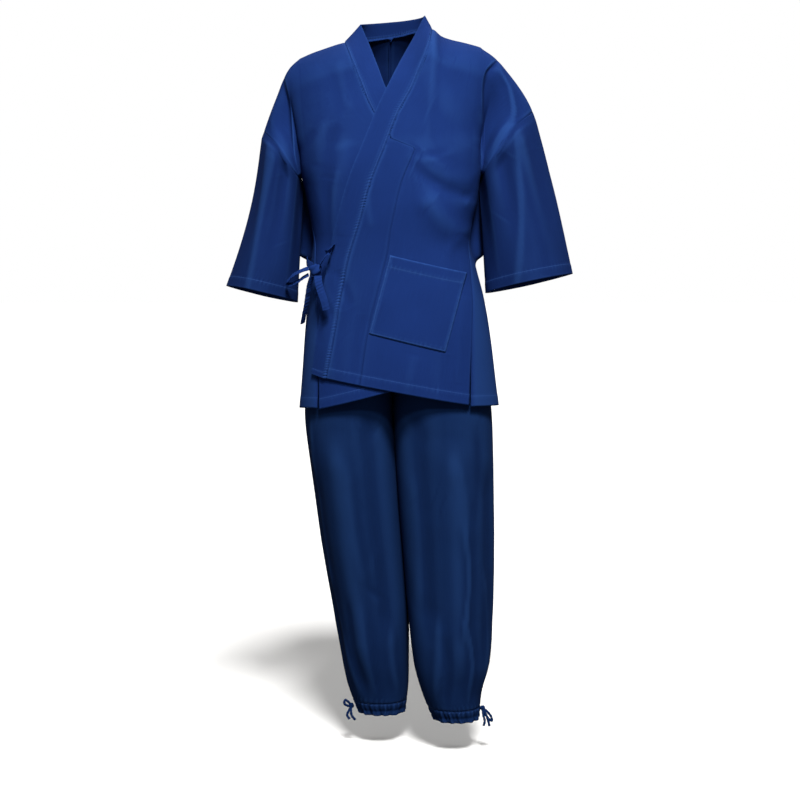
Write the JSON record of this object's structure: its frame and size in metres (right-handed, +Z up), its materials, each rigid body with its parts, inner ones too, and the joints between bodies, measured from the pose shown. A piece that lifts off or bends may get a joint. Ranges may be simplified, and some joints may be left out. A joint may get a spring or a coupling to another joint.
{
  "type": "work wear jacket and trousers set",
  "caption": "Indigo cotton work wear set, hollow as worn: a lapped wrap jacket with wide cropped sleeves, side tie and patch pocket, over full trousers tied at the ankles.",
  "frame": {"origin": "between the shoulders, at the height where the collar crosses the shoulder seams, in the middle of the picture's sideways extent", "axes": "+Z up, the front faces -Y, +X towards the wearer's left"},
  "size_m": [0.7119, 0.2664, 1.4715],
  "materials": {
    "jacket_cloth": "brushed indigo cotton twill, matt",
    "collar_cloth": "indigo cotton twill in several layers, stitched",
    "tie_tape": "folded and stitched indigo cotton twill",
    "trouser_cloth": "indigo cotton twill, matt, darker",
    "ankle_cord": "soft navy cotton cord"
  },
  "bodies": {
    "root": {"back_left": "jacket_cloth", "back_right": "jacket_cloth", "front_left": "jacket_cloth", "front_right": "jacket_cloth", "strip_left": "jacket_cloth", "strip_right": "jacket_cloth", "collar_left": "collar_cloth", "collar_right": "collar_cloth", "sleeve_left": "jacket_cloth", "sleeve_right": "jacket_cloth", "pocket": "jacket_cloth", "tie_front": "tie_tape", "tie_side": "tie_tape", "tie_loop": "tie_tape", "tie_end_front": "tie_tape", "tie_end_back": "tie_tape", "tie_knot": "tie_tape", "leg_front_left": "trouser_cloth", "leg_back_left": "trouser_cloth", "ankle_casing_left": "trouser_cloth", "ankle_bow_left": "ankle_cord", "leg_front_right": "trouser_cloth", "leg_back_right": "trouser_cloth", "ankle_casing_right": "trouser_cloth", "ankle_bow_right": "ankle_cord", "waist_casing": "trouser_cloth"}
  },
  "joints": []
}
